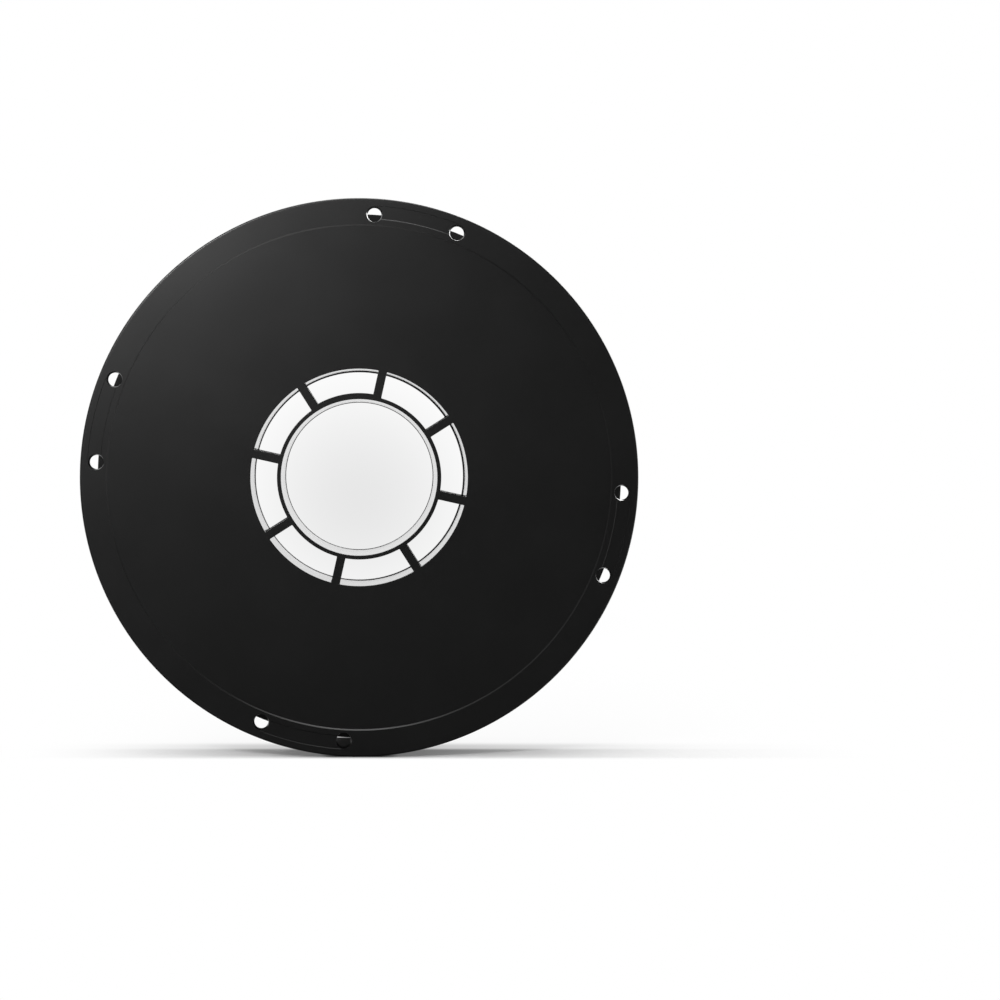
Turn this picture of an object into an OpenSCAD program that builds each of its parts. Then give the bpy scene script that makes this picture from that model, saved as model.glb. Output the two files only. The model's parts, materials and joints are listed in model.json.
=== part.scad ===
// Filament spool: two side flanges joined by a winding drum and a spindle
// sleeve, and wound with one continuous strand of filament.
// The centre of the bore is the origin and the spindle axis is Y.
// The front flange faces -Y, and the spool stands on its rims with +Z up.

/* [Flanges] */
// Outer diameter of both flanges
flange_d = 200; // [190:1:230]
// Thickness of a flange at its rim
flange_t = 3.6; // [3:0.1:5]
// Rounding of the flange's outer corner
rim_round = 1; // [0.4:0.1:1.4]
// Width of the raised band round the rim
rim_band_w = 9.4; // [9:0.1:14]
// Depth of the label recess inside that band
recess_depth = 0.4; // [0.2:0.1:0.8]

/* [Rim holes] */
// Diameter of a hole that holds the loose end of the filament
rim_hole_d = 5.5; // [4:0.1:6]
// Distance from the flange's edge to the centre of a hole
rim_hole_inset = 5.8; // [5:0.1:6.5]
// Number of pairs of holes
pair_count = 4; // [2:1:6]
// Angle between the two holes of a pair
pair_angle = 18.5; // [14:0.5:24]
// Width of the groove that joins a pair
groove_w = 4.3; // [2:0.1:5]
// Depth of that groove
groove_depth = 0.9; // [0.5:0.1:1.5]
// Distance from the flange's edge to the middle of the groove
groove_inset = 5; // [4.5:0.1:6]
// Chamfer round the mouth of a hole
hole_chamfer = 0.3; // [0.1:0.1:0.5]

/* [Hub] */
// Diameter of the spindle bore
bore_d = 56; // [50:1:60]
// Wall of the spindle sleeve and of the ring round the bore
sleeve_wall = 1.4; // [1.2:0.1:2]
// Radial height of a window in the front flange
window_h = 9.5; // [8:0.5:12]
// How much higher a window is in the rear flange
window_draft = 0.7; // [0:0.1:1]
// Radial lip between the rear windows and the drum's inner wall
drum_lip = 0.4; // [0.2:0.1:1]
// Wall of the winding drum
drum_wall = 2; // [1.6:0.1:3]
// Number of spokes
spoke_count = 8; // [4:1:10]
// Width of a spoke
spoke_w = 3.1; // [2.5:0.1:4.5]
// Angle of the first spoke and of the first pair of rim holes
clocking = -12.6; // [-45:0.1:45]
// Depth of the rib behind each spoke that centres the drum and the sleeve
rib_depth = 8; // [4:0.5:15]
// Depth of the foot that keys each rib into the drum's end
key_depth = 2; // [1:0.1:3]
// Extra height of the bore ring inside one window
land_extra = 0.8; // [0:0.1:1.5]

/* [Filament] */
// Diameter of the filament
filament_d = 1.75; // [1.75:0.05:3]
// Clear width between the two flanges
winding_w = 59.8; // [50:0.1:80]
// Depth of the winding's surface below the flange's edge
winding_inset = 16; // [8:1:40]
// Most turns drawn in the outer layer
turn_limit = 24; // [8:1:24]
// Least space between two turns of the outer layer
turn_space = 0.5; // [0.45:0.05:1]
// Distance from the front flange to the hole that anchors the inner end
anchor_inset = 6; // [4:0.5:20]

/* [Clearances] */
// Gap between parts that plug into each other
fit_gap = 0.15; // [0.1:0.05:0.3]
// Gap between the winding and a flange
side_gap = 0.3; // [0.2:0.05:0.6]
// Gap between the winding and the drum, and under the outer layer
layer_gap = 0.1; // [0.05:0.05:0.3]
// Gap round the filament in the anchor hole
anchor_gap = 0.4; // [0.3:0.05:0.6]

/* [Hidden] */

$fn = 144;
past = 1; // how far a cutter runs past the face that it cuts, and a rib into its plate

flange_r = flange_d / 2;
rim_hole_r = flange_r - rim_hole_inset;
groove_r = flange_r - groove_inset;
inner_face = winding_w / 2;
recess_t = flange_t - recess_depth;
bore_r = bore_d / 2;
sleeve_r = bore_r + sleeve_wall;
front_window_r = sleeve_r + window_h;
rear_window_r = front_window_r + window_draft;
drum_inner_r = rear_window_r + drum_lip;
drum_r = drum_inner_r + drum_wall;
spoke_angle = 360 / spoke_count;
land_window = 2; // the window, counted from the first spoke, with the higher land

// The outer layer's turns, and the plain core that carries them
winding_r = flange_r - winding_inset;
layer_r = winding_r - filament_d / 2;
coil_w = winding_w - 2 * side_gap;
turns = min(turn_limit, floor((coil_w - filament_d) / (filament_d + turn_space)));
pitch = (coil_w - filament_d) / turns;
turn_rings = 24;
tube_sides = 6;
core_r = layer_r * cos(180 / turn_rings) - filament_d / 2 - layer_gap;
bend_r = 2 * filament_d;
bend_step = 30;
end_angle = -90; // both ends of the layer dive into the core at the bottom
tuck_r = layer_r - bend_r - filament_d;
tuck_w = filament_d + 2 * side_gap;
anchor_angle = clocking + 1.5 * spoke_angle;
anchor_y = anchor_inset - inner_face;

plastic = [0.09, 0.09, 0.095];
strand = [0.13, 0.13, 0.135];

// Everything round the spindle is drawn with its axis on Z and turned here.
// Seen from the front, an angle is counted from +X towards +Z.
module along_spindle() rotate([90, 0, 0]) children();
module at_front() along_spindle() translate([0, 0, inner_face]) children();
module at_rear() mirror([0, 1, 0]) at_front() children();

module tube(outer_r, inner_r, height) {
    difference() {
        cylinder(r = outer_r, h = height);
        translate([0, 0, -past]) cylinder(r = inner_r, h = height + 2 * past);
    }
}

module at_each_spoke() {
    for (i = [0 : spoke_count - 1]) rotate(clocking + i * spoke_angle) children();
}

module at_each_pair() {
    for (i = [0 : pair_count - 1]) rotate(clocking + i * 360 / pair_count) children();
}

// Bars along the spokes, as long as the radius reach
module spoke_bars(reach, width, height) {
    at_each_spoke() translate([0, -width / 2, 0]) cube([reach, width, height]);
}

// Section of a flange, from the bore to the rounded rim
module flange_section() {
    difference() {
        union() {
            translate([bore_r, 0]) square([flange_r - bore_r, flange_t - rim_round]);
            translate([bore_r, 0]) square([flange_r - rim_round - bore_r, flange_t]);
            translate([flange_r - rim_round, flange_t - rim_round]) circle(rim_round);
        }
        translate([bore_r - past, recess_t])
            square([flange_r - rim_band_w - bore_r + past, recess_depth + past]);
    }
}

// The openings between the spokes, one of them with a higher land
module windows(window_r) {
    chord = 2 * window_r * sin(spoke_angle / 2);
    translate([0, 0, -past]) difference() {
        tube(window_r, sleeve_r, flange_t + 2 * past);
        translate([0, 0, -past]) {
            spoke_bars(window_r + past, spoke_w, flange_t + 4 * past);
            intersection() {
                cylinder(r = sleeve_r + land_extra, h = flange_t + 4 * past);
                rotate(clocking + (land_window + 0.5) * spoke_angle)
                    translate([0, -chord / 2, 0]) cube([window_r, chord, flange_t + 4 * past]);
            }
        }
    }
}

// Ribs behind the spokes: they centre the sleeve and the drum, and their feet
// fill the notches in the drum's end
module spoke_ribs() {
    intersection() {
        translate([0, 0, -rib_depth]) spoke_bars(drum_r, spoke_w, rib_depth + past);
        union() {
            translate([0, 0, -rib_depth])
                tube(drum_inner_r - fit_gap, sleeve_r + fit_gap, rib_depth + past);
            translate([0, 0, -key_depth])
                tube(drum_r, sleeve_r + fit_gap, key_depth + past);
        }
    }
}

module rim_hole() {
    translate([rim_hole_r, 0, -past]) cylinder(d = rim_hole_d, h = flange_t + 2 * past);
    translate([rim_hole_r, 0, flange_t - hole_chamfer])
        cylinder(d1 = rim_hole_d, d2 = rim_hole_d + 4 * hole_chamfer, h = 2 * hole_chamfer);
}

// Two rim holes and the groove that leads the filament from one to the other
module rim_pair() {
    for (side = [-1, 1]) rotate(side * pair_angle / 2) rim_hole();
    rotate(-pair_angle / 2) translate([0, 0, flange_t - groove_depth])
        rotate_extrude(angle = pair_angle)
            translate([groove_r - groove_w / 2, 0]) square([groove_w, groove_depth + past]);
}

module flange(window_r) {
    difference() {
        rotate_extrude() flange_section();
        windows(window_r);
        at_each_pair() rim_pair();
    }
    spoke_ribs();
}

module front_flange() {
    color(plastic) at_front() flange(front_window_r);
}

module rear_flange() {
    color(plastic) at_rear() flange(rear_window_r);
}

// Notches in the front end of the drum for the feet of the ribs
module key_notches() {
    notch_depth = key_depth + fit_gap;
    at_front() translate([0, 0, -notch_depth])
        spoke_bars(drum_r + past, spoke_w + 2 * fit_gap, notch_depth + past);
}

module anchor_bar(from_r, to_r, bar_d) {
    translate([0, anchor_y, 0]) rotate([0, 90 - anchor_angle, 0])
        translate([0, 0, from_r]) cylinder(d = bar_d, h = to_r - from_r);
}

module winding_drum() {
    color(plastic) difference() {
        along_spindle() translate([0, 0, -inner_face]) tube(drum_r, drum_inner_r, winding_w);
        key_notches();
        mirror([0, 1, 0]) key_notches();
        anchor_bar(drum_inner_r - past, drum_r + past, filament_d + 2 * anchor_gap);
    }
}

module spindle_sleeve() {
    color(plastic) along_spindle()
        translate([0, 0, -inner_face]) tube(sleeve_r, bore_r, winding_w);
}

// Pockets at the core's two edges, where the ends of the outer layer dive in
module tuck_pockets() {
    pocket_l = bend_r + filament_d / 2 + side_gap;
    for (flip = [0, 180]) rotate([0, -end_angle, 0]) rotate([flip, 0, 0])
        translate([tuck_r, -coil_w / 2 - past, -pocket_l])
            cube([core_r - tuck_r + past, tuck_w + past, pocket_l + side_gap]);
}

// All the turns below the outer layer, as one plain core, with the inner end
// of the filament in its anchor hole
module filament_inner_layers() {
    color(strand) {
        difference() {
            along_spindle() translate([0, 0, -coil_w / 2])
                tube(core_r, drum_r + layer_gap, coil_w);
            tuck_pockets();
        }
        anchor_bar(drum_inner_r, drum_r + layer_gap + past, filament_d);
    }
}

// The outer layer follows a helix, and each end bends inwards and runs
// straight down into the core
function outward(a) = [cos(a), 0, sin(a)];
function forward(a) = [-sin(a), 0, cos(a)];
function on_turn(a) =
    layer_r * outward(a) + [0, pitch * ((a - end_angle) / 360 - turns / 2), 0];
function dive(a, way, bend) =
    on_turn(a) + bend_r * (way * sin(bend) * forward(a) - (1 - cos(bend)) * outward(a));
function end_point(a, way) = dive(a, way, 90) - filament_d * outward(a);

last_angle = end_angle + 360 * turns;
layer_path = concat(
    [end_point(end_angle, -1)],
    [for (bend = [90 : -bend_step : bend_step]) dive(end_angle, -1, bend)],
    [for (i = [0 : turns * turn_rings]) on_turn(end_angle + i * 360 / turn_rings)],
    [for (bend = [bend_step : bend_step : 90]) dive(last_angle, 1, bend)],
    [end_point(last_angle, 1)]);
last_ring = len(layer_path) - 1;

// Least gap between the tube and itself, from each ring to those half a turn
// to one and a half turns further on
function gap_after(i) =
    min([for (j = [i + turn_rings / 2 : min(i + 3 * turn_rings / 2, last_ring)])
        norm(layer_path[j] - layer_path[i])]) - filament_d;
least_gap = min([for (i = [0 : last_ring - turn_rings / 2]) gap_after(i)]);
echo(least_gap_between_turns_mm = least_gap);

function unit(v) = v / norm(v);
function heading(i) =
    unit(layer_path[min(i + 1, last_ring)] - layer_path[max(i - 1, 0)]);
function ring(i) =
    let (u = unit(cross(heading(i), [0, 1, 0])), v = cross(heading(i), u))
    [for (k = [0 : tube_sides - 1])
        layer_path[i] + filament_d / 2 * (cos(k * 360 / tube_sides) * u
                                          + sin(k * 360 / tube_sides) * v)];

module filament_outer_layer() {
    points = [for (i = [0 : last_ring]) each ring(i)];
    first = [for (k = [0 : tube_sides - 1]) k];
    last = [for (k = [tube_sides - 1 : -1 : 0]) last_ring * tube_sides + k];
    walls = [for (i = [0 : last_ring - 1], k = [0 : tube_sides - 1])
        let (a = i * tube_sides + k, b = i * tube_sides + (k + 1) % tube_sides)
        each [[a, a + tube_sides, b], [b, a + tube_sides, b + tube_sides]]];
    caps = [for (k = [1 : tube_sides - 2])
        each [[first[0], first[k], first[k + 1]], [last[0], last[k], last[k + 1]]]];
    color(strand) polyhedron(points, concat(walls, caps));
}

front_flange();
rear_flange();
winding_drum();
spindle_sleeve();
filament_inner_layers();
filament_outer_layer();
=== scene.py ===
import json
import math

import bmesh
import bpy
from mathutils import Matrix, Vector, noise

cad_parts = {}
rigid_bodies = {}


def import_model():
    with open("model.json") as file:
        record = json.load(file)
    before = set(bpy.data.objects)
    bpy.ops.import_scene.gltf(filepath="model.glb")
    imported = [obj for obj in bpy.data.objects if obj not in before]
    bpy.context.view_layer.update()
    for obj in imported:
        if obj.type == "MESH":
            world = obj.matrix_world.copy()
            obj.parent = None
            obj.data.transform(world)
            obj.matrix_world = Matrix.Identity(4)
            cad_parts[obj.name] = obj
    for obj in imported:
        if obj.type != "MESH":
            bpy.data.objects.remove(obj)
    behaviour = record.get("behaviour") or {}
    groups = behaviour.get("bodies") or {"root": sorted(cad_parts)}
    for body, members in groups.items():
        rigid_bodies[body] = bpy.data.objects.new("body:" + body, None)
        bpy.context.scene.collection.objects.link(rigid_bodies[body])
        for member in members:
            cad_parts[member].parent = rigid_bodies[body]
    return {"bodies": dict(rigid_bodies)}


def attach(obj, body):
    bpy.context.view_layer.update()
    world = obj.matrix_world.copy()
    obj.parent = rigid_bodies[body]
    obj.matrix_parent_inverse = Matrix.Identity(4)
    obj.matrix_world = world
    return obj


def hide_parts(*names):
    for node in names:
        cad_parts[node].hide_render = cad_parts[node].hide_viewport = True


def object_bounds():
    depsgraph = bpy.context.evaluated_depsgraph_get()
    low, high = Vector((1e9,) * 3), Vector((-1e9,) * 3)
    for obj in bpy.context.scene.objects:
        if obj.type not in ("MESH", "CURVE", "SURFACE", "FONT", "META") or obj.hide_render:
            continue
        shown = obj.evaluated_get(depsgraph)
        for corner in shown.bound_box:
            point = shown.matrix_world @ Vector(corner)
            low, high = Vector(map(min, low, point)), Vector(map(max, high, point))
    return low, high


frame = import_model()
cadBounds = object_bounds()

mm = 0.001
weld = 1e-6  # points closer than this join
spindle = (0, 1, 0)  # the spool turns about Y and its front faces -Y


def onSpindle(angle, radius=1.0, y=0.0):
    # angle in degrees, seen from the front, from +X towards +Z
    turn = math.radians(angle)
    return Vector((radius * math.cos(turn), y, radius * math.sin(turn)))


cameraSetup = {
    "hubPixel": (359.1, 477.4),  # where the middle of the front face lies, in a 1000 pixel frame
    "pixelsPerMm": 2.796,        # scale at the front face
    "distance": 930 * mm,        # from the front face
    "offset": (1.5 * mm, 8.3 * mm),  # to the right of the spindle, and above it
    "frame": 1000,
    "sensor": 36.0,
}


def makeCamera(setup):
    frontFace = cadBounds[0][1]
    widthSeen = setup["frame"] / setup["pixelsPerMm"] * mm
    right, above = setup["offset"]
    vanishX = setup["hubPixel"][0] + right / mm * setup["pixelsPerMm"]
    vanishY = setup["hubPixel"][1] - above / mm * setup["pixelsPerMm"]
    data = bpy.data.cameras.new("camera")
    data.sensor_width = setup["sensor"]
    data.lens = setup["sensor"] * setup["distance"] / widthSeen
    data.shift_x = 0.5 - vanishX / setup["frame"]
    data.shift_y = vanishY / setup["frame"] - 0.5
    data.clip_end = 50
    camera = bpy.data.objects.new("camera", data)
    camera.location = (right, frontFace - setup["distance"], above)
    camera.rotation_euler = (math.radians(90), 0, 0)
    bpy.context.scene.collection.objects.link(camera)
    bpy.context.scene.camera = camera


makeCamera(cameraSetup)
print("camera set")


class Wire:
    # one output of a node: sums written with it add Math nodes
    def __init__(self, tree, socket=None):
        self.tree = tree
        self.socket = socket

    def node(self, kind, settings=None, values=None, output=0):
        # any other node: its settings first, then its values and links
        made = self.tree.nodes.new("ShaderNode" + kind)
        for key, value in (settings or {}).items():
            setattr(made, key, value)
        for key, value in (values or {}).items():
            if isinstance(value, Wire):
                self.tree.links.new(value.socket, made.inputs[key])
            else:
                made.inputs[key].default_value = value
        return Wire(self.tree, made.outputs[output] if made.outputs else None)

    def part(self, output):
        # another output of the same node
        return Wire(self.tree, self.socket.node.outputs[output])

    def maths(self, operation, *numbers):
        return self.node("Math", {"operation": operation}, dict(enumerate(numbers)))

    def __add__(self, other):
        return self.maths("ADD", self, other)

    def __sub__(self, other):
        return self.maths("SUBTRACT", self, other)

    def __rsub__(self, other):
        return self.maths("SUBTRACT", other, self)

    def __mul__(self, other):
        return self.maths("MULTIPLY", self, other)

    def __pow__(self, other):
        return self.maths("POWER", self, other)

    __radd__ = __add__
    __rmul__ = __mul__

    def ramp(self, low, high):
        # 0 below low, 1 above high, and smooth between
        settings = {"interpolation_type": "SMOOTHSTEP"}
        return self.node("MapRange", settings, {"Value": self, "From Min": low, "From Max": high})

    def blend(self, colourA, colourB):
        # colourA where this is 0, colourB where it is 1
        return self.node("Mix", {"data_type": "RGBA"}, {0: self, 6: colourA, 7: colourB}, 2)


def grey(value):
    return (value, value, value, 1.0)


def newMaterial(name):
    material = bpy.data.materials.new(name)
    material.use_nodes = True
    material.node_tree.nodes.clear()
    return material, Wire(material.node_tree)


def finishMaterial(material, graph, shader):
    graph.node("OutputMaterial", None, {"Surface": shader})
    return material


plasticLook = {
    "colour": 0.004, "faded": 0.0015,     # base grey, and how much lighter it is where it is scuffed
    "roughness": 0.32, "roughSpread": 0.05,
    "polished": 0.1, "polishedColourWithPaintedLight": 0.014,  # the round walls of drum and bore, and the inner faces; their base is lighter than the face's, which is painted light
    "specular": 0.5, "ior": 1.5, "bump": 0.5,
    "grainSize": 0.00028, "grainHeight": 0.000002,
    "grainDetail": 3.0, "grainFine": 0.6, "grainRough": 0.05,
    "waveSize": 0.03, "waveDetail": 4.0, "waveFine": 0.55,
    "waveTone": (0.35, 0.7), "waveShare": 0.35,
    "speckScale": 900.0, "speckDetail": 2.0, "speckTone": (0.45, 0.75),
    "rimFrom": 0.0982, "rimTo": 0.1002,    # radius where the rim's edge wears
    "wornShare": 0.9, "wornRough": 0.1,
}


def makePlastic(name, look, roughness, base):
    material, graph = newMaterial(name)
    place = graph.node("TexCoord", output=3)
    parts = place.node("SeparateXYZ", None, {0: place})
    across, up = parts.part(0), parts.part(2)
    radius = (across * across + up * up) ** 0.5
    grain = place.node("TexNoise", None, {
        "Vector": place, "Scale": 1 / look["grainSize"],
        "Detail": look["grainDetail"], "Roughness": look["grainFine"]})
    cloud = place.node("TexNoise", None, {
        "Vector": place, "Scale": 1 / look["waveSize"],
        "Detail": look["waveDetail"], "Roughness": look["waveFine"]})
    speck = place.node("TexNoise", None, {
        "Vector": place, "Scale": look["speckScale"], "Detail": look["speckDetail"]})
    worn = radius.ramp(look["rimFrom"], look["rimTo"]) * speck.ramp(*look["speckTone"])
    mark = cloud.ramp(*look["waveTone"]) * look["waveShare"] + worn * look["wornShare"]
    colour = mark.blend(grey(base), grey(base + look["faded"]))
    rough = roughness + (cloud - 0.5) * look["roughSpread"] + worn * look["wornRough"]
    rough = rough + (grain - 0.5) * look["grainRough"]
    bump = place.node("Bump", None, {
        "Strength": look["bump"], "Distance": look["grainHeight"], "Height": grain})
    shader = place.node("BsdfPrincipled", None, {
        "Base Color": colour, "Roughness": rough, "Normal": bump,
        "IOR": look["ior"], "Specular IOR Level": look["specular"]})
    return finishMaterial(material, graph, shader)


strandLook = {
    "colour": 0.020, "pale": 0.028,
    "roughness": 0.40, "roughSpread": 0.10,
    "specular": 0.4, "ior": 1.5, "bump": 0.5,
    "along": 35.0, "around": 1500.0,       # streaks: few along a turn, many across it
    "streakHeight": 0.00001,
    "streakTone": (0.3, 0.75), "streakShare": 0.6,
    "cloudScale": 45.0, "cloudTone": (0.3, 0.7), "cloudShare": 0.4, "cloudRough": 0.08,
    "noiseDetail": 3.0, "noiseFine": 0.5,
}


def makeStrandPlastic(look):
    material, graph = newMaterial("filamentPlastic")
    place = graph.node("TexCoord", output=3)
    stretched = place.node("Mapping", {"vector_type": "POINT"}, {
        "Vector": place, "Scale": (look["along"], look["around"], look["along"])})
    streak = place.node("TexNoise", None, {
        "Vector": stretched, "Scale": 1.0,
        "Detail": look["noiseDetail"], "Roughness": look["noiseFine"]})
    cloud = place.node("TexNoise", None, {
        "Vector": place, "Scale": look["cloudScale"],
        "Detail": look["noiseDetail"], "Roughness": look["noiseFine"]})
    tone = streak.ramp(*look["streakTone"]) * look["streakShare"]
    tone = tone + cloud.ramp(*look["cloudTone"]) * look["cloudShare"]
    colour = tone.blend(grey(look["colour"]), grey(look["pale"]))
    rough = look["roughness"] + (streak - 0.5) * look["roughSpread"]
    rough = rough + (cloud - 0.5) * look["cloudRough"]
    bump = place.node("Bump", None, {
        "Strength": look["bump"], "Distance": look["streakHeight"], "Height": streak})
    shader = place.node("BsdfPrincipled", None, {
        "Base Color": colour, "Roughness": rough, "Normal": bump,
        "IOR": look["ior"], "Specular IOR Level": look["specular"]})
    return finishMaterial(material, graph, shader)


spoolPlastic = makePlastic("spoolPlastic", plasticLook, plasticLook["roughness"], plasticLook["colour"])
# a copy of the same plastic, smoother, whose lighter base colour paints light on the walls and inner faces
polishedPlasticWithPaintedLight = makePlastic("polishedPlasticWithPaintedLight", plasticLook, plasticLook["polished"],
                              plasticLook["polishedColourWithPaintedLight"])
filamentPlastic = makeStrandPlastic(strandLook)
print("materials made")


def addObject(name, bm, material=None):
    bmesh.ops.recalc_face_normals(bm, faces=bm.faces[:])
    for face in bm.faces:
        face.smooth = True
    mesh = bpy.data.meshes.new(name)
    bm.to_mesh(mesh)
    bm.free()
    made = bpy.data.objects.new(name, mesh)
    if material:
        mesh.materials.append(material)
    bpy.context.scene.collection.objects.link(made)
    return made


def applyModifiers(target):
    deps = bpy.context.evaluated_depsgraph_get()
    mesh = bpy.data.meshes.new_from_object(target.evaluated_get(deps))
    old = target.data
    target.modifiers.clear()
    target.data = mesh
    bpy.data.meshes.remove(old)


def cut(target, cutter, operation="DIFFERENCE"):
    step = target.modifiers.new("cut", "BOOLEAN")
    step.operation = operation
    step.solver = "EXACT"
    step.object = cutter
    applyModifiers(target)
    bpy.data.objects.remove(cutter)


def roundEdges(target, width, segments=2, angle=30):
    bevel = target.modifiers.new("edges", "BEVEL")
    bevel.width = width
    bevel.segments = segments
    bevel.limit_method = "ANGLE"
    bevel.angle_limit = math.radians(angle)
    applyModifiers(target)


def evenNormals(target, angle=35, weight=80, flat=0.9999):
    # keeps flat faces flat and the small rounds soft; a face is flat if it looks this far along Y
    target.data.set_sharp_from_angle(angle=math.radians(angle))
    even = target.modifiers.new("normals", "WEIGHTED_NORMAL")
    even.keep_sharp = True
    even.weight = weight
    applyModifiers(target)
    mesh = target.data
    flats = {}
    for face in mesh.polygons:
        if abs(face.normal.y) > flat:
            for vert in face.vertices:
                flats[vert] = face.normal.copy()
    normals = [corner.vector.copy() for corner in mesh.corner_normals]
    closeTo = math.cos(math.radians(angle))
    for face in mesh.polygons:
        for corner in face.loop_indices:
            straight = flats.get(mesh.loops[corner].vertex_index)
            if straight and straight.dot(face.normal) > closeTo:
                normals[corner] = straight
    mesh.normals_split_custom_set(normals)


def lathe(points, steps, rounds=None, start=0):
    # spins a section of (radius, y) points about the spindle; rounds maps a corner to its radius
    bm = bmesh.new()
    corners = [bm.verts.new(onSpindle(start, radius, y)) for radius, y in points]
    bm.faces.new(corners)
    for index, (size, segments) in (rounds or {}).items():
        bmesh.ops.bevel(bm, geom=[corners[index]], affect="VERTICES", offset=size,
                        segments=segments, profile=0.5, material=-1)
    bmesh.ops.delete(bm, geom=bm.faces[:], context="FACES_ONLY")
    bmesh.ops.spin(bm, geom=bm.verts[:] + bm.edges[:], cent=(0, 0, 0), axis=spindle,
                   angle=math.tau, steps=steps, use_merge=True)
    bmesh.ops.remove_doubles(bm, verts=bm.verts[:], dist=weld)
    bmesh.ops.recalc_face_normals(bm, faces=bm.faces[:])
    return bm


def addBar(bm, angle, fromRadius, toRadius, width, yFrom, yTo):
    # a box along a radius
    middle = (fromRadius + toRadius) / 2
    size = Matrix.Diagonal((toRadius - fromRadius, yTo - yFrom, width, 1))
    turn = Matrix.Rotation(-math.radians(angle), 4, "Y")
    place = Matrix.Translation((middle, (yFrom + yTo) / 2, 0))
    bmesh.ops.create_cube(bm, size=1, matrix=turn @ place @ size)


spool = {
    "flangeRadius": min(abs(corner[axis]) for corner in cadBounds for axis in (0, 2)),
    "outerFace": -cadBounds[0][1],
    "rimThickness": 3.6 * mm,
    "recessDepth": 0.4 * mm,
    "rimBand": 9.62 * mm,
    "rimRound": 0.65 * mm, "rimSegments": 6,
    "boreRadius": 28.0 * mm,
    "sleeveWall": 1.4 * mm,
    "boreStep": 0.15 * mm,       # the sleeve stands back this much behind the flanges' bores
    "frontWindow": 9.5 * mm,     # radial height
    "rearWindow": 10.2 * mm,
    "drumInner": 39.9 * mm,
    "drumShift": 0.08 * mm,      # the drum rests this much to the right and up, within its play
    "drumWall": 2.0 * mm,
    "spokes": 8,
    "spokeWidth": 3.1 * mm,
    "spokeColumns": 2,           # columns of points from a spoke's middle to its side
    "clocking": -12.6,
    "landWindow": 2,
    "landExtra": 0.8 * mm,
    "ribDepth": 8.0 * mm,
    "keyDepth": 2.0 * mm,
    "fitGap": 0.15 * mm,
    "tubeRound": 0.3 * mm, "tubeSegments": 3,
    "pairs": 4,
    "pairAngle": 18.5,
    "holeFront": 2.86 * mm,      # radius at the outer face, and at the inner one
    "holeBack": 2.5 * mm,
    "holeInset": 5.68 * mm,
    "holeSides": 64,
    "grooveInset": 5.0 * mm,
    "grooveWidth": 4.9 * mm,
    "grooveDepth": 0.2 * mm,
    "grooveSlopes": (0.25 * mm, 0.155 * mm),  # of the wall nearer the hub, and of the outer one
    "grooveShort": 0.9,          # degrees left off, so that its ends lie inside the holes
    "grooveSteps": 28,
    "stepSlope": 0.47 * mm,
    "ribStepIn": 0.15 * mm,      # the ribs are this much narrower on each side than the spokes
    "footNarrower": 0.1 * mm,    # and their feet this much in all
    "ribSink": 1.5 * mm,
    "steps": 288,
    "edge": 0.18 * mm,
}
innerFace = spool["outerFace"] - spool["rimThickness"]
sleeveRadius = spool["boreRadius"] + spool["sleeveWall"]
drumRadius = spool["drumInner"] + spool["drumWall"]
spokeAngle = 360 / spool["spokes"]
past = 1.0 * mm  # how far a cutter reaches beyond what it cuts
wallLean = 0.3   # a wall's normal leans less than this towards Y
faceLean = 0.9   # and a side face's normal more than this


def polar(vert):
    return math.degrees(math.atan2(vert.co.z, vert.co.x)), math.hypot(vert.co.x, vert.co.z)


def fromSpoke(angle):
    # degrees from the nearest spoke, and that spoke's number
    index = round((angle - spool["clocking"]) / spokeAngle)
    return angle - spool["clocking"] - index * spokeAngle, index % spool["spokes"]


def isNear(a, b, slack=1e-5):
    return abs(a - b) < slack


def straightenSpokes(bm, radii):
    # the columns of points nearest each spoke spread evenly between its straight sides
    column = 360 / spool["steps"]
    columns = spool["spokeColumns"]
    for vert in bm.verts:
        angle, radius = polar(vert)
        away, _ = fromSpoke(angle)
        if any(isNear(radius, ring) for ring in radii) and abs(away) < (columns + 0.5) * column:
            side = math.degrees(math.asin(spool["spokeWidth"] / 2 / radius))
            wanted = round(away / column) / columns * side
            turn = Matrix.Rotation(-math.radians(wanted - away), 3, "Y")
            vert.co = turn @ vert.co


def openWindows(bm, inner, outer):
    # takes the faces between the spokes out of both sides and joins the two openings with walls
    column = 360 / spool["steps"]
    sides = {}
    gone = []
    for face in bm.faces:
        middle = face.calc_center_median()
        radius = math.hypot(middle.x, middle.z)
        if abs(face.normal.y) < faceLean or not inner < radius < outer:
            continue
        away, spoke = fromSpoke(math.degrees(math.atan2(middle.z, middle.x)))
        if abs(away) > (spool["spokeColumns"] - 0.1) * column:
            window = spoke if away > 0 else (spoke - 1) % spool["spokes"]
            sides.setdefault(window, []).append(face)
            gone.append(face)
    loops = {}
    for window, faces in sides.items():
        count = {}
        for face in faces:
            for edge in face.edges:
                count[edge] = count.get(edge, 0) + 1
        loops[window] = [edge for edge, uses in count.items() if uses == 1]
    bmesh.ops.delete(bm, geom=gone, context="FACES_ONLY")
    for window, edges in loops.items():
        bmesh.ops.bridge_loops(bm, edges=edges)
        if window == spool["landWindow"]:
            widenLand({vert for edge in edges for vert in edge.verts}, inner)
    bmesh.ops.delete(bm, geom=[edge for edge in bm.edges if not edge.link_faces], context="EDGES")
    bmesh.ops.delete(bm, geom=[vert for vert in bm.verts if not vert.link_faces], context="VERTS")


def widenLand(verts, inner):
    # the bore ring stands out a little further in one window
    wide = inner + spool["landExtra"]
    half = spool["spokeWidth"] / 2
    for vert in verts:
        angle, radius = polar(vert)
        if not isNear(radius, inner):
            continue
        away, _ = fromSpoke(angle)
        if isNear(abs(math.sin(math.radians(away)) * inner), half):
            away = math.copysign(math.degrees(math.asin(half / wide)), away)
        vert.co = onSpindle(angle - fromSpoke(angle)[0] + away, wide, vert.co.y)


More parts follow.
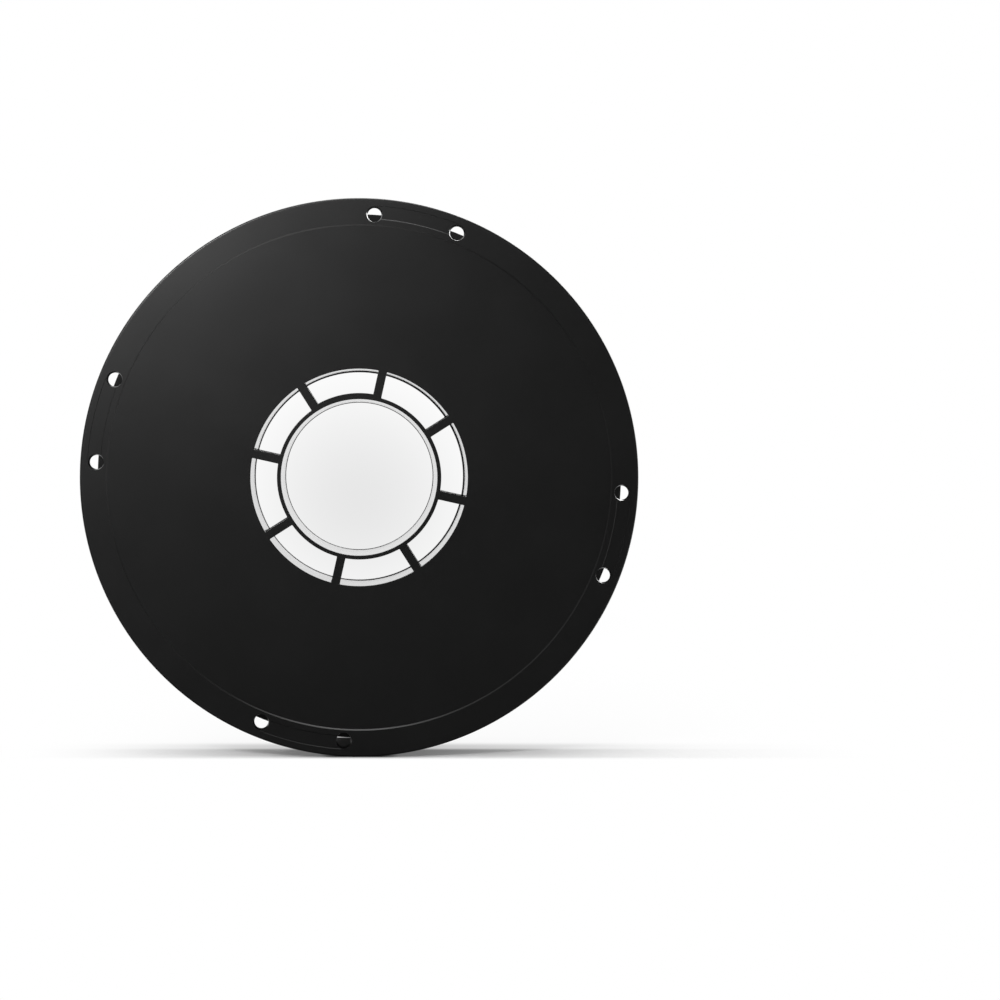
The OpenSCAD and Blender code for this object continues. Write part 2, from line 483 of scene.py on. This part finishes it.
def holeCutter():
    # eight round pins, wider at the front, so that each hole has the slope that frees it from its mould
    wide, narrow = spool["holeFront"], spool["holeBack"]
    outerEnd, innerEnd = -spool["outerFace"], -innerFace
    grow = (wide - narrow) / spool["rimThickness"] * past
    profile = [(0, outerEnd - past), (wide + grow, outerEnd - past), (narrow - grow, innerEnd + past),
               (0, innerEnd + past)]
    pin = lathe(profile, spool["holeSides"])
    pinMesh = bpy.data.meshes.new("pin")
    pin.to_mesh(pinMesh)
    pin.free()
    bm = bmesh.new()
    for pair in range(spool["pairs"]):
        for side in (-0.5, 0.5):
            angle = spool["clocking"] + pair * 360 / spool["pairs"] + side * spool["pairAngle"]
            before = len(bm.verts)
            bm.from_mesh(pinMesh)
            bm.verts.ensure_lookup_table()
            place = onSpindle(angle, spool["flangeRadius"] - spool["holeInset"])
            bmesh.ops.translate(bm, vec=place, verts=bm.verts[before:])
    bpy.data.meshes.remove(pinMesh)
    return addObject("holeCutter", bm)


def grooveCutter():
    # a shallow channel from one hole of a pair to the other, with sloped sides
    middle = spool["flangeRadius"] - spool["grooveInset"]
    half, depth = spool["grooveWidth"] / 2, spool["grooveDepth"]
    inner, outer = spool["grooveSlopes"]
    top = -spool["outerFace"]
    sweep = spool["pairAngle"] - spool["grooveShort"]
    proud = 0.5  # the cutter's sides go on past the face by this share of depth and slope
    section = [(middle + half - outer, top + depth), (middle + half + proud * outer, top - proud * depth),
               (middle - half - proud * inner, top - proud * depth), (middle - half + inner, top + depth)]
    bm = bmesh.new()
    for pair in range(spool["pairs"]):
        start = spool["clocking"] + pair * 360 / spool["pairs"] - sweep / 2
        corners = [bm.verts.new(onSpindle(start, radius, y)) for radius, y in section]
        face = bm.faces.new(corners)
        bmesh.ops.spin(bm, geom=[face], cent=(0, 0, 0), axis=(0, -1, 0),
                       angle=math.radians(sweep), steps=spool["grooveSteps"])
    return addObject("grooveCutter", bm)


def addRibs(flange):
    # behind each spoke: a rib that centres sleeve and drum, with a foot keyed into the drum's end
    inner = sleeveRadius + spool["fitGap"]
    outer = spool["drumInner"] - spool["fitGap"]
    width = spool["spokeWidth"] - 2 * spool["ribStepIn"]
    footWidth = width - spool["footNarrower"]
    start = -innerFace - spool["ribSink"]
    rib = (outer, spool["ribDepth"], width)
    foot = (drumRadius, spool["keyDepth"], footWidth)
    for reach, height, wide in (rib, foot):
        bm = bmesh.new()
        for index in range(spool["spokes"]):
            angle = spool["clocking"] + index * spokeAngle
            addBar(bm, angle, inner, reach, wide, start, height - innerFace)
        ribs = addObject("ribs", bm)
        roundEdges(ribs, spool["edge"])
        cut(flange, ribs, "UNION")


def makeFlange(name, windowHeight, rear):
    top = spool["outerFace"]
    recess = top - spool["recessDepth"]
    step = spool["flangeRadius"] - spool["rimBand"]
    slope = spool["stepSlope"] / 2
    window = sleeveRadius + windowHeight
    section = [(spool["flangeRadius"], -top), (step + slope, -top), (step - slope, -recess),
               (window, -recess), (sleeveRadius, -recess), (spool["boreRadius"], -recess),
               (spool["boreRadius"], -innerFace), (sleeveRadius, -innerFace), (window, -innerFace),
               (spool["flangeRadius"], -innerFace)]
    rounds = {0: (spool["rimRound"], spool["rimSegments"])}
    bm = lathe(section, spool["steps"], rounds, spool["clocking"])
    straightenSpokes(bm, (sleeveRadius, window))
    openWindows(bm, sleeveRadius, window)
    flange = addObject(name, bm, spoolPlastic)
    roundEdges(flange, spool["edge"], angle=50)
    addRibs(flange)
    cut(flange, grooveCutter())
    cut(flange, holeCutter())
    if rear:
        flange.data.transform(Matrix.Diagonal((1, -1, 1, 1)))
        flange.data.flip_normals()
    evenNormals(flange)
    # walls and inner faces take the smoother copy, whose lighter base is painted light
    flange.data.materials.append(polishedPlasticWithPaintedLight)
    for face in flange.data.polygons:
        radius = math.hypot(face.center.x, face.center.z)
        isWall = abs(face.normal.y) < wallLean and radius < drumRadius
        if isWall or isNear(abs(face.center.y), innerFace):
            face.material_index = 1
    return flange


frontFlange = makeFlange("frontFlange", spool["frontWindow"], False)
rearFlange = makeFlange("rearFlange", spool["rearWindow"], True)
print("flanges made")


anchor = {"inset": 6.0 * mm, "gap": 0.4 * mm, "window": 1.5}
anchorAngle = spool["clocking"] + anchor["window"] * spokeAngle
anchorY = anchor["inset"] - innerFace


def addRadialPin(bm, angle, y, fromRadius, toRadius, pinRadius, segments=24):
    middle = onSpindle(angle, (fromRadius + toRadius) / 2, y)
    outwards = onSpindle(angle).to_track_quat("Z", "Y").to_matrix().to_4x4()
    bmesh.ops.create_cone(bm, cap_ends=True, segments=segments, radius1=pinRadius, radius2=pinRadius,
                          depth=toRadius - fromRadius, matrix=Matrix.Translation(middle) @ outwards)


tubeSteps = 192  # round the drum, the sleeve and the winding's core


def makeTube(name, inner, outer):
    section = [(inner, -innerFace), (outer, -innerFace), (outer, innerFace), (inner, innerFace)]
    rounds = {corner: (spool["tubeRound"], spool["tubeSegments"]) for corner in range(len(section))}
    return addObject(name, lathe(section, tubeSteps, rounds), polishedPlasticWithPaintedLight)


def makeDrum(strandRadius):
    drum = makeTube("windingDrum", spool["drumInner"], drumRadius)
    notch = spool["keyDepth"] + spool["fitGap"]
    notchWidth = spool["spokeWidth"] + 2 * spool["fitGap"]
    bm = bmesh.new()
    for end in (-1, 1):
        for index in range(spool["spokes"]):
            angle = spool["clocking"] + index * spokeAngle
            addBar(bm, angle, spool["drumInner"] - past, drumRadius + past,
                   notchWidth, end * innerFace - notch, end * innerFace + notch)
    addRadialPin(bm, anchorAngle, anchorY, spool["drumInner"] - past, drumRadius + past,
                 strandRadius + anchor["gap"])
    cut(drum, addObject("notches", bm))
    drum.data.transform(Matrix.Translation((spool["drumShift"], 0, spool["drumShift"])))
    evenNormals(drum)
    return drum


winding = {
    "strandRadius": 0.875 * mm,
    "surface": 84.0 * mm,
    "turns": 31,
    "stations": 120,        # points on each turn
    "sideGap": 0.35 * mm,
    "layerStep": 0.92,      # from the outer layer down to the under one, in strand diameters
    "lowest": 0.5,          # how far above the under layer a strand may sink, in the same
    "wander": 1.0 * mm,     # how far a turn strays sideways
    "wanderRate": 2.6, "wanderDrift": 0.8,
    "underWander": 0.25 * mm,
    "outerTurn": 50,        # sets the outer layer's stray apart from the under layer's
    "settle": 3,            # stations each way over which the stiff strand evens out
    "tubeSides": 8,
    "seed": 4.7,
    "endBend": 4, "endStraight": 2, "endAngles": range(15, 91, 15),  # both lengths in strand radii
    "coreDepth": 3.2,       # from the surface down to the core, in strand radii
    "coreGap": 0.2 * mm, "coreSideGap": 0.3 * mm,
    "coreRound": 0.8 * mm, "coreSegments": 3,
}

windingDrum = makeDrum(winding["strandRadius"])
spindleSleeve = makeTube("spindleSleeve", spool["boreRadius"] + spool["boreStep"], sleeveRadius)
evenNormals(spindleSleeve)
print("drum and sleeve made")


def strayed(turn, amount, setup):
    # the sideways stray after this many turns; it is the same where one turn runs into the next
    angle = math.tau * turn
    rate = setup["wanderRate"]
    drift = setup["wanderDrift"] * turn + setup["seed"]
    spot = Vector((rate * math.cos(angle), rate * math.sin(angle), drift))
    return amount * noise.noise(spot)


def restingRadius(y, others, ground, diameter):
    # the lowest radius at which a strand at y clears the strands below and beside it
    best = ground
    for otherY, otherRadius in others:
        apart = abs(y - otherY)
        if apart < diameter:
            best = max(best, otherRadius + math.sqrt(diameter ** 2 - apart ** 2))
    return best


def evenOut(values, reach):
    # a running mean; neighbouring turns press into each other by up to 0.5 mm where it lowers one
    smooth = []
    for index in range(len(values)):
        near = values[max(0, index - reach):index + reach + 1]
        smooth.append(sum(near) / len(near))
    return smooth


def layStrand(setup):
    # returns the points of one strand: the under layer from rear to front, then the outer one back
    radius = setup["strandRadius"]
    diameter = 2 * radius
    stations = setup["stations"]
    count = setup["turns"] * stations
    reach = innerFace - setup["sideGap"] - radius
    underRadius = setup["surface"] - radius - setup["layerStep"] * diameter
    ground = underRadius + setup["lowest"] * diameter
    under = []
    for index in range(count + 1):
        turn = index / stations
        y = reach - 2 * reach * turn / setup["turns"] + strayed(turn, setup["underWander"], setup)
        under.append((max(-reach, min(reach, y)), underRadius))
    outer = []
    for index in range(count + 1):
        turn = index / stations
        stray = strayed(turn + setup["outerTurn"], setup["wander"], setup)
        y = -reach + 2 * reach * turn / setup["turns"] + stray
        y = max(-reach, min(reach, y))
        below = [under[place] for place in range(index % stations, count + 1, stations)]
        beside = [outer[place] for place in range(index % stations, index, stations)]
        outer.append((y, restingRadius(y, below + beside, ground, diameter)))
    heights = evenOut(evenOut([place[1] for place in outer], setup["settle"]), setup["settle"])
    climb = stations // 2  # the strand climbs from one layer to the next in half a turn
    path = under + [(y, height) for (y, _), height in zip(outer[1:], heights[1:])]
    points = []
    for index, (y, height) in enumerate(path):
        if count < index <= count + climb:
            rise = (index - count) / climb
            ease = rise * rise * (3 - 2 * rise)
            height = underRadius + (height - underRadius) * ease
        points.append(onSpindle(-90 + 360 * index / stations, height, y))
    return points


def tucked(points, setup):
    # both ends bend inwards and run straight down into the layers below
    bend = setup["endBend"] * setup["strandRadius"]
    straight = setup["endStraight"] * setup["strandRadius"]
    ends = []
    for tip, nextOne in ((points[0], points[1]), (points[-1], points[-2])):
        away = (tip - nextOne).normalized()
        inward = -Vector((tip.x, 0, tip.z)).normalized()
        turn = [tip + bend * (math.sin(a) * away + (1 - math.cos(a)) * inward)
                for a in map(math.radians, setup["endAngles"])]
        ends.append(turn + [turn[-1] + straight * inward])
    return list(reversed(ends[0])) + points + ends[1]


def makeWinding(setup):
    points = tucked(layStrand(setup), setup)
    curve = bpy.data.curves.new("strandPath", "CURVE")
    curve.dimensions = "3D"
    curve.bevel_depth = setup["strandRadius"]
    curve.bevel_resolution = (setup["tubeSides"] - 4) // 2
    curve.use_fill_caps = True
    line = curve.splines.new("POLY")
    line.points.add(len(points) - 1)
    for target, point in zip(line.points, points):
        target.co = (*point, 1)
    route = bpy.data.objects.new("strandRoute", curve)
    bpy.context.scene.collection.objects.link(route)
    bpy.context.view_layer.update()
    mesh = bpy.data.meshes.new_from_object(route.evaluated_get(bpy.context.evaluated_depsgraph_get()))
    bpy.data.objects.remove(route)
    bm = bmesh.new()
    bm.from_mesh(mesh)
    bmesh.ops.remove_doubles(bm, verts=bm.verts[:], dist=weld)  # joins the end caps to the tube
    bm.to_mesh(mesh)
    bm.free()
    mesh.name = "filamentWinding"
    mesh.materials.clear()
    mesh.materials.append(filamentPlastic)
    made = bpy.data.objects.new("filamentWinding", mesh)
    bpy.context.scene.collection.objects.link(made)
    for face in mesh.polygons:
        face.use_smooth = True
    return made


def makeCore(setup):
    radius = setup["surface"] - setup["coreDepth"] * setup["strandRadius"]
    low, high = drumRadius + setup["coreGap"], innerFace - setup["coreSideGap"]
    section = [(low, -high), (radius, -high), (radius, high), (low, high)]
    rounds = {corner: (setup["coreRound"], setup["coreSegments"]) for corner in (1, 2)}
    core = addObject("filamentCore", lathe(section, tubeSteps, rounds), filamentPlastic)
    bm = bmesh.new()
    addRadialPin(bm, anchorAngle, anchorY, spool["drumInner"], low + past, setup["strandRadius"])
    cut(core, addObject("innerEnd", bm), "UNION")
    evenNormals(core)
    return core


filamentWinding = makeWinding(winding)
filamentCore = makeCore(winding)
print("winding made")


studio = {
    # the floor's own grey: the camera sees it only within the shadow band, which is partly real shadow and
    # partly painted shade, and sees white elsewhere
    "floorColour": 0.7,
    "floorHalf": 1.0,
    "shadowMiddle": 0.03,            # the shadow lies a little to the right
    "shadowAcross": (0.05, 0.16),    # and fades out between these, to both sides
    "shadowFront": (-0.042, -0.032),
    "shadowDark": (-0.013, -0.004),  # it fades backwards in two steps
    "shadowPale": (0.0, 0.016),
    "shadowParts": (0.5, 0.42, 0.08),
    "shadowLift": 0.15,
    # painted shade: the floor turns a darker grey close under the spool, between its flanges
    "paintedShade": (0.007, 0.036), "paintedShadeBack": (0.028, 0.036), "paintedShadeColour": 0.18,
    "glossShadeAcross": (0.09, 0.16),       # painted shade in reflections: gloss sees a dark floor close to the object
    "glossShadeFront": (-0.045, -0.038), "glossShadeBack": (0.035, 0.05), "paintedGlossShade": 0.05,
    "ambient": 0.6,
    # what gloss sees in each direction; the pairs are direction cosines where it fades in or out:
    # ahead is away from the camera, aside to the right
    "front": 0.05,
    "side": 1.0, "sideIn": (-0.2, 0.0), "sideOut": (0.1, 0.5),
    "rear": 0.3, "rearIn": (0.0, 0.5),
    "back": 1.0, "backIn": (0.991, 0.997), "bandIn": (0.88, 0.93), "bandOut": (0.96, 0.985),
    "below": 2.1, "belowIn": (-0.65, -0.25), "belowOut": (0.0, 0.3),
    "belowAside": (-0.6, 0.45), "belowUp": (-0.95, -0.3),
    "right": 0.75,                   # so that walls that face right are as light as the face
    "rightIn": (-0.7, -0.4), "rightOut": (-0.2, -0.05),
    "rightAside": (0.55, 0.8), "rightUp": (-0.1, 0.4),
    "above": 1.3, "aboveUp": (0.85, 1.0),
    "bore": 0.8,                     # painted shade: the background behind the hub is a little grey, where the spool would shade the backdrop
    "boreSpread": 0.0667,
    "boreDrop": 0.008,               # its darkest point lies this far below the spindle
    # lamps: place, the point each is aimed at, width and height, power
    "sheen": ((-0.221, -0.554, 0.282), (0, 0, 0), (0.14, 0.14), 2.7),
    "rearSheen": ((0.225, 0.553, 0.286), (0, 0, 0), (0.4, 0.4), 2.0),
    "top": ((0.05, -0.06, 0.9), (0.05, -0.06, 0), (0.5, 0.72), 3.2),
}


def makeFloor(setup):
    bm = bmesh.new()
    bmesh.ops.create_circle(bm, cap_ends=True, segments=64, radius=setup["floorHalf"],
                            matrix=Matrix.Translation((0, 0, cadBounds[0][2])))
    material, graph = newMaterial("floor")
    floor = addObject("floor", bm, material)
    place = graph.node("TexCoord", output=3)
    parts = place.node("SeparateXYZ", None, {0: place})
    across, along = parts.part(0), parts.part(1)
    aside = across.maths("ABSOLUTE", across - setup["shadowMiddle"])
    across = across.maths("ABSOLUTE", across)
    inFront = along.ramp(*setup["shadowFront"])
    dark, pale, rest = setup["shadowParts"]
    band = dark * (1 - along.ramp(*setup["shadowDark"]))
    band = band + pale * (1 - along.ramp(*setup["shadowPale"])) + rest
    shadow = (1 - aside.ramp(*setup["shadowAcross"])) * inFront * band * (1 - setup["shadowLift"])
    # painted shadow on the floor under the spool, between its flanges
    paintedShade = (1 - across.ramp(*setup["paintedShade"])) * inFront * (1 - along.ramp(*setup["paintedShadeBack"]))
    shadow = shadow.maths("MAXIMUM", shadow, paintedShade)
    camera = graph.node("LightPath", output="Is Camera Ray")
    glossy = graph.node("LightPath", output="Is Glossy Ray")
    colour = paintedShade.blend(grey(setup["floorColour"]), grey(setup["paintedShadeColour"]))
    paint = graph.node("BsdfDiffuse", None, {"Color": colour})
    white = graph.node("Emission", None, {"Color": grey(1.0), "Strength": 1.0})
    # painted shade in reflections: glossy rays see a dark floor near the object, and the world elsewhere
    paintedGlossShadeMask = (1 - across.ramp(*setup["glossShadeAcross"])) * along.ramp(*setup["glossShadeFront"])
    paintedGlossShadeMask = paintedGlossShadeMask * (1 - along.ramp(*setup["glossShadeBack"]))
    paintedGlossShade = graph.node("Emission", None, {"Color": grey(1.0), "Strength": setup["paintedGlossShade"]})
    clear = graph.node("BsdfTransparent", None, {"Color": grey(1.0)})
    forGloss = graph.node("MixShader", None, {0: paintedGlossShadeMask, 1: clear, 2: paintedGlossShade})
    shade = graph.node("MixShader", None, {0: glossy, 1: paint, 2: forGloss})
    lift = (1 - shadow) * camera
    finishMaterial(material, graph, graph.node("MixShader", None, {0: lift, 1: shade, 2: white}))


def makeWorld(setup):
    world = bpy.data.worlds.new("studio")
    bpy.context.scene.world = world
    world.use_nodes = True
    world.node_tree.nodes.clear()
    graph = Wire(world.node_tree)
    direction = graph.node("TexCoord", output=0)
    parts = graph.node("SeparateXYZ", None, {0: direction})
    aside, ahead, up = parts.part(0), parts.part(1), parts.part(2)
    side = ahead.ramp(*setup["sideIn"]) * (1 - ahead.ramp(*setup["sideOut"]))
    rear = ahead.ramp(*setup["rearIn"])
    gloss = setup["front"] + side * setup["side"] + rear * setup["rear"]
    band = ahead.ramp(*setup["bandIn"]) * (1 - ahead.ramp(*setup["bandOut"]))
    back = (ahead.ramp(*setup["backIn"]) + band) * setup["back"]
    around = ahead.ramp(*setup["belowIn"]) * (1 - ahead.ramp(*setup["belowOut"]))
    low = aside.ramp(*setup["belowAside"]) * (1 - up.ramp(*setup["belowUp"])) * around * setup["below"]
    right = aside.ramp(*setup["rightAside"]) * (1 - up.ramp(*setup["rightUp"])) * setup["right"]
    right = right * ahead.ramp(*setup["rightIn"]) * (1 - ahead.ramp(*setup["rightOut"]))
    above = up.ramp(*setup["aboveUp"]) * setup["above"]
    for part in (back, low, right, above):
        gloss = gloss.maths("MAXIMUM", gloss, part)
    # painted shade on the white backdrop, darkest straight behind the hub, seen by camera rays only
    toHub = Vector((0, cadBounds[0][1], -setup["boreDrop"])) - bpy.context.scene.camera.location
    away = direction.node("VectorMath", {"operation": "DISTANCE"}, {0: direction, 1: toHub.normalized()}, 1)
    backdropWithPaintedShade = setup["bore"] + away.ramp(0, setup["boreSpread"]) * (1 - setup["bore"])
    camera = graph.node("LightPath", output="Is Camera Ray")
    glossy = graph.node("LightPath", output="Is Glossy Ray")
    level = glossy.node("Mix", {"data_type": "FLOAT"}, {0: glossy, 2: setup["ambient"], 3: gloss})
    level = camera.node("Mix", {"data_type": "FLOAT"}, {0: camera, 2: level, 3: backdropWithPaintedShade})
    shade = graph.node("Background", None, {"Color": grey(1.0), "Strength": level})
    graph.node("OutputWorld", None, {"Surface": shade})


def addLamp(name, setup):
    place, aim, size, power = setup[name]
    data = bpy.data.lights.new(name, "AREA")
    data.shape = "RECTANGLE"
    data.size, data.size_y = size
    data.energy = power
    lamp = bpy.data.objects.new(name, data)
    lamp.location = place
    lamp.rotation_euler = (Vector(aim) - Vector(place)).to_track_quat("-Z", "Y").to_euler()
    bpy.context.scene.collection.objects.link(lamp)


makeFloor(studio)
makeWorld(studio)
for lampName in ("sheen", "rearSheen", "top"):
    addLamp(lampName, studio)
bpy.context.scene.view_settings.view_transform = "Standard"
print("studio made")


dressed = (
    (frontFlange, "front_flange", "spool_plastic"),
    (rearFlange, "rear_flange", "spool_plastic"),
    (windingDrum, "winding_drum", "spool_plastic"),
    (spindleSleeve, "spindle_sleeve", "spool_plastic"),
    (filamentCore, "filament_inner_layers", "filament"),
    (filamentWinding, "filament_outer_layer", "filament"),
)
body = next(iter(frame["bodies"]))
for piece, node, slotName in dressed:
    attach(piece, body)
    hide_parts(node)
print("pieces joined")
